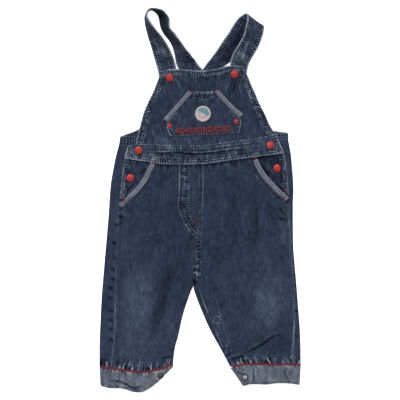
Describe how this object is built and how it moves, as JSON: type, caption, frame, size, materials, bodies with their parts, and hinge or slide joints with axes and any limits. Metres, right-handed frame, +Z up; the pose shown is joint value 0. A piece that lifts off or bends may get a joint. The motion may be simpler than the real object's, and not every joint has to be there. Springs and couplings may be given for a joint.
{
  "type": "baby dungarees",
  "caption": "Denim dungarees for a baby, buttoned up and laid flat on their back, with bib, straps, hip pockets and turned-up cuffs.",
  "frame": {"origin": "middle of the box, on the surface that the garment lies on", "axes": "+Y from the cuffs to the straps, +Z up out of the front, +X to the right as seen from the front"},
  "size_m": [0.3022, 0.5766, 0.0286],
  "materials": {
    "denim": "washed blue denim, faded at the knees",
    "reverse_denim": "pale wrong side of the denim",
    "red_caps": "red lacquer, satin",
    "crimson_piping": "dark red piping",
    "press_stud_steel": "dull steel",
    "badge_thread": "embroidered patch"
  },
  "bodies": {
    "root": {"back_bib": "denim", "back_leg_left": "denim", "back_leg_right": "denim", "back_waistband": "denim", "bib": "denim", "bib_pocket": "denim", "front_leg_left": "denim", "front_leg_right": "denim", "front_waistband": "denim", "hip_facing_left": "denim", "hip_facing_right": "denim", "strap_left": "denim", "strap_right": "denim", "bib_binding_left": "reverse_denim", "bib_binding_right": "reverse_denim", "cuff_left": "reverse_denim", "cuff_right": "reverse_denim", "hip_binding_left": "reverse_denim", "hip_binding_right": "reverse_denim", "pocket_stud_left": "red_caps", "pocket_stud_right": "red_caps", "snap_bib_left": "red_caps", "snap_bib_right": "red_caps", "snap_hip_left": "red_caps", "snap_hip_right": "red_caps", "snap_waist_left": "red_caps", "snap_waist_right": "red_caps", "piping_left": "crimson_piping", "piping_right": "crimson_piping", "cuff_snap_left": "press_stud_steel", "cuff_snap_right": "press_stud_steel", "badge": "badge_thread"}
  },
  "joints": []
}
